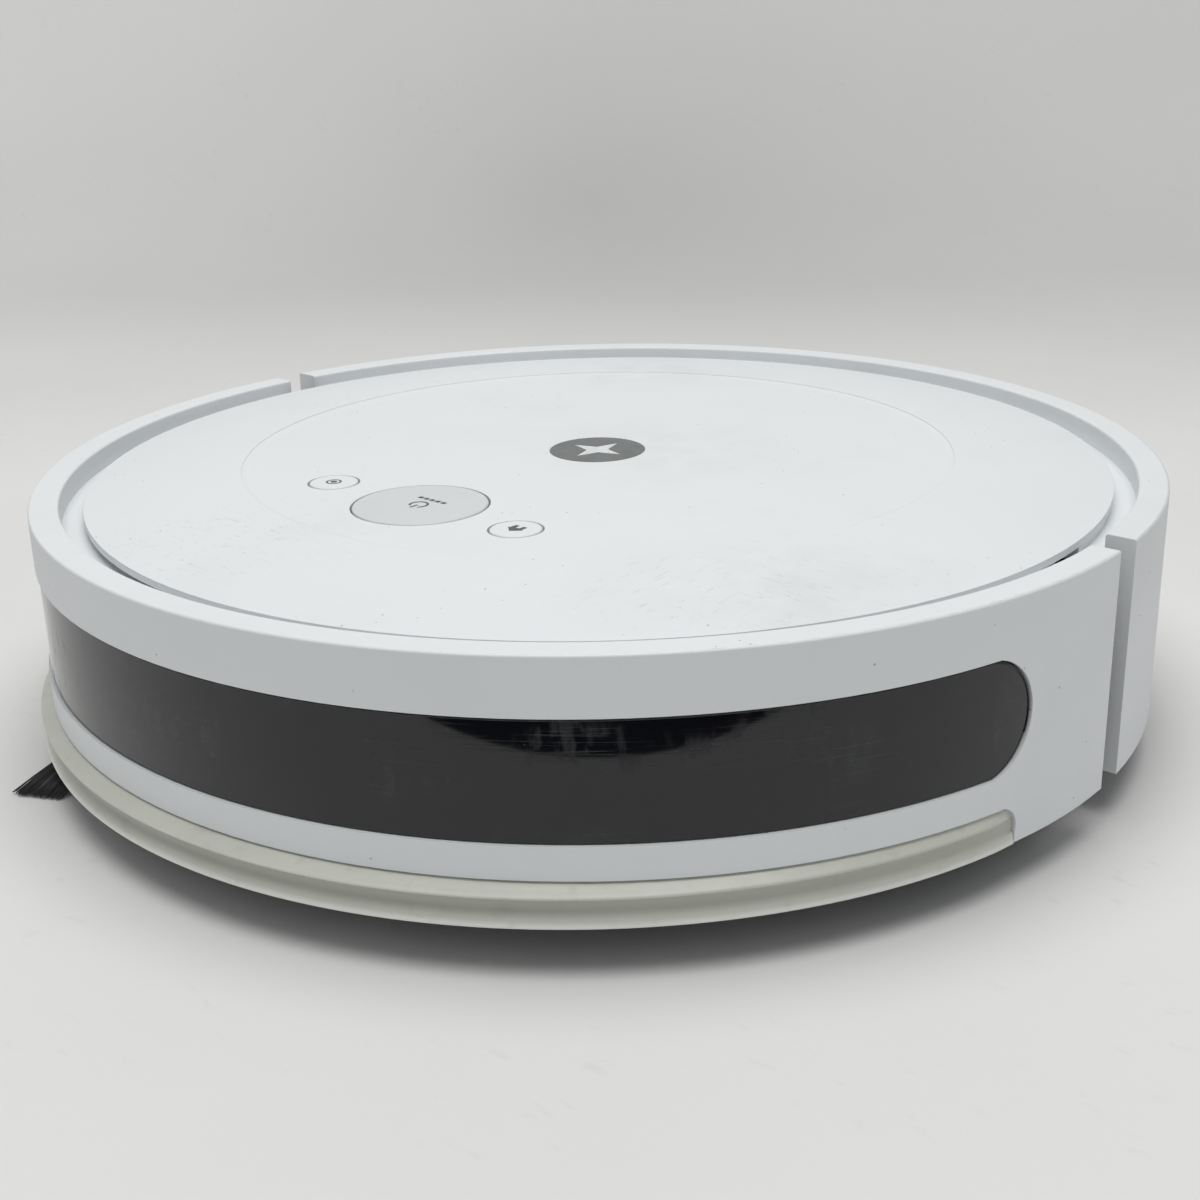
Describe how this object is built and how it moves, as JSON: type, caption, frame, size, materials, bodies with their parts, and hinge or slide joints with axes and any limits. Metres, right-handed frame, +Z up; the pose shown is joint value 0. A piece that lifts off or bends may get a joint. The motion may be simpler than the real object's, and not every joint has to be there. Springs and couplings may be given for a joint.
{
  "type": "robot vacuum",
  "caption": "Low round robot vacuum with a sprung front bumper, smoked sensor window, soft strip, flush top buttons, drive wheels, caster, rotating brushes, fan and slide-out dust bin.",
  "frame": {"origin": "on the floor, under the axis of the round body", "axes": "+Z up, -Y the direction the robot drives forward in, +X towards its left side"},
  "size_m": [0.34, 0.3443, 0.0816],
  "materials": {
    "white_body": "fine satin moulding",
    "white_cover": "fine satin moulding",
    "white_small_button": "satin",
    "grey_button": "semi-gloss",
    "badge_grey": "semi-gloss",
    "smoked_window": "gloss, infrared-clear",
    "soft_strip": "soft translucent rubber",
    "base_plastic": "fine texture",
    "module_plastic": "matt",
    "brush_frame_plastic": "matt",
    "dark_small": "gloss",
    "steel": "plated steel",
    "contact_metal": "nickel plated",
    "tyre": "ribbed rubber",
    "wheel_plastic": "matt",
    "brush_rubber": "soft rubber",
    "black_bristle": "nylon bristle",
    "grey_bristle": "nylon bristle",
    "brush_core_plastic": "matt",
    "gear_plastic": "acetal",
    "pinion_brass": "machined brass",
    "circuit_board": "solder mask",
    "battery_wrap": "matt",
    "cell_metal": "wrapped metal cells",
    "wire_red": "insulated wire",
    "bin_lid_plastic": "satin",
    "filter_paper": "pleated filter",
    "latch_grey": "satin",
    "impeller_plastic": "satin"
  },
  "bodies": {
    "root": {"chassis_base": "base_plastic", "rear_shell": "white_body", "upper_frame": "base_plastic", "top_cover": "white_cover", "badge": "badge_grey", "button_board": "circuit_board", "main_board": "circuit_board", "frame_screws": "steel", "base_screws": "steel", "battery_case": "battery_wrap", "battery_cells": "cell_metal", "battery_door": "base_plastic", "cliff_sensors": "dark_small", "charge_contacts": "contact_metal", "speaker": "dark_small", "wiring_harness": "wire_red", "bumper_guide_pins": "steel", "bumper_sensors": "dark_small", "bumper_springs": "steel", "side_brush_motor": "module_plastic", "cleaning_head": "module_plastic", "brush_gear_cover": "module_plastic", "brush_bearing": "gear_plastic", "brush_motor": "steel", "fan_housing": "module_plastic", "fan_motor": "steel"},
    "clean_key": {"clean_button": "grey_button"},
    "spot_key": {"spot_button": "white_small_button"},
    "dock_key": {"dock_button": "white_small_button"},
    "bumper": {"bumper_shell": "white_body", "ir_window": "smoked_window", "bumper_strip": "soft_strip", "proximity_board": "circuit_board"},
    "caster_swivel": {"caster_fork": "base_plastic", "caster_axle": "steel", "caster_clip": "steel"},
    "caster_roller": {"caster_wheel": "wheel_plastic"},
    "side_brush": {"side_brush_hub": "brush_rubber", "side_brush_bristles": "black_bristle", "side_brush_screw": "steel"},
    "main_brush": {"main_brush_core": "brush_core_plastic", "main_brush_vanes": "brush_rubber", "main_brush_bristles": "grey_bristle", "brush_gear": "gear_plastic"},
    "brush_idler": {"brush_idler_gear": "gear_plastic"},
    "brush_motor_shaft": {"brush_pinion": "pinion_brass"},
    "brush_guard": {"brush_frame": "brush_frame_plastic"},
    "dust_bin": {"bin_body": "white_body", "bin_lid": "bin_lid_plastic", "bin_filter": "filter_paper"},
    "bin_latch": {"bin_release": "latch_grey"},
    "impeller": {"fan_impeller": "impeller_plastic"},
    "left_arm": {"left_drive_housing": "module_plastic", "left_drive_motor": "steel"},
    "left_wheel": {"left_wheel_hub": "wheel_plastic", "left_tyre": "tyre"},
    "right_arm": {"right_drive_housing": "module_plastic", "right_drive_motor": "steel"},
    "right_wheel": {"right_wheel_hub": "wheel_plastic", "right_tyre": "tyre"}
  },
  "joints": [
    {"name": "bumper_push", "type": "slide", "parent": "root", "child": "bumper", "axis": [0, 1, 0], "range_m": [0, 0.005], "stiffness_N_per_m": 350, "springref_m": -0.004, "deforming": ["bumper_springs"]},
    {"name": "clean_press", "type": "slide", "parent": "root", "child": "clean_key", "axis": [0, 0, -1], "range_m": [0, 0.0008], "stiffness_N_per_m": 600, "springref_m": -0.0006},
    {"name": "spot_press", "type": "slide", "parent": "root", "child": "spot_key", "axis": [0, 0, -1], "range_m": [0, 0.0008], "stiffness_N_per_m": 600, "springref_m": -0.0006},
    {"name": "dock_press", "type": "slide", "parent": "root", "child": "dock_key", "axis": [0, 0, -1], "range_m": [0, 0.0008], "stiffness_N_per_m": 600, "springref_m": -0.0006},
    {"name": "left_suspension", "type": "hinge", "parent": "root", "child": "left_arm", "pos_m": [0.0945, -0.047, 0.033], "axis": [-1, 0, 0], "range_deg": [0, 14], "stiffness_Nm_per_rad": 0.25, "springref_deg": 51.57},
    {"name": "right_suspension", "type": "hinge", "parent": "root", "child": "right_arm", "pos_m": [-0.0945, -0.047, 0.033], "axis": [-1, 0, 0], "range_deg": [0, 14], "stiffness_Nm_per_rad": 0.25, "springref_deg": 51.57},
    {"name": "left_wheel_spin", "type": "hinge", "parent": "left_arm", "child": "left_wheel", "pos_m": [0.115, 0, 0.033], "axis": [1, 0, 0], "continuous": true},
    {"name": "right_wheel_spin", "type": "hinge", "parent": "right_arm", "child": "right_wheel", "pos_m": [-0.115, 0, 0.033], "axis": [1, 0, 0], "continuous": true},
    {"name": "caster_turn", "type": "hinge", "parent": "root", "child": "caster_swivel", "pos_m": [0, -0.128, 0.0365], "axis": [0, 0, 1], "continuous": true},
    {"name": "caster_roll", "type": "hinge", "parent": "caster_swivel", "child": "caster_roller", "pos_m": [0, -0.12, 0.015], "axis": [1, 0, 0], "continuous": true},
    {"name": "side_brush_spin", "type": "hinge", "parent": "root", "child": "side_brush", "pos_m": [-0.10394, -0.10394, 0.016], "axis": [0, 0, 1], "continuous": true},
    {"name": "main_brush_spin", "type": "hinge", "parent": "root", "child": "main_brush", "pos_m": [-0.007, 0.052, 0.0245], "axis": [1, 0, 0], "continuous": true},
    {"name": "idler_spin", "type": "hinge", "parent": "root", "child": "brush_idler", "pos_m": [0.077, 0.03468, 0.0345], "axis": [1, 0, 0], "continuous": true},
    {"name": "pinion_spin", "type": "hinge", "parent": "root", "child": "brush_motor_shaft", "pos_m": [0.077, 0.01768, 0.0345], "axis": [1, 0, 0], "continuous": true},
    {"name": "brush_guard_open", "type": "hinge", "parent": "root", "child": "brush_guard", "pos_m": [0, 0.0238, 0.0134], "axis": [-1, 0, 0], "range_deg": [0, 80]},
    {"name": "bin_slide", "type": "slide", "parent": "root", "child": "dust_bin", "axis": [0, 1, 0], "range_m": [0, 0.1]},
    {"name": "bin_release_press", "type": "slide", "parent": "dust_bin", "child": "bin_latch", "axis": [0, -1, 0], "range_m": [0, 0.002], "stiffness_N_per_m": 500, "springref_m": -0.0006},
    {"name": "impeller_spin", "type": "hinge", "parent": "root", "child": "impeller", "pos_m": [-0.119, 0.078, 0.045], "axis": [0, 0, 1], "continuous": true}
  ],
  "couplings": [
    {"joint": "idler_spin", "follows": "main_brush_spin", "ratio": -0.66667},
    {"joint": "pinion_spin", "follows": "main_brush_spin", "ratio": 1.6}
  ]
}
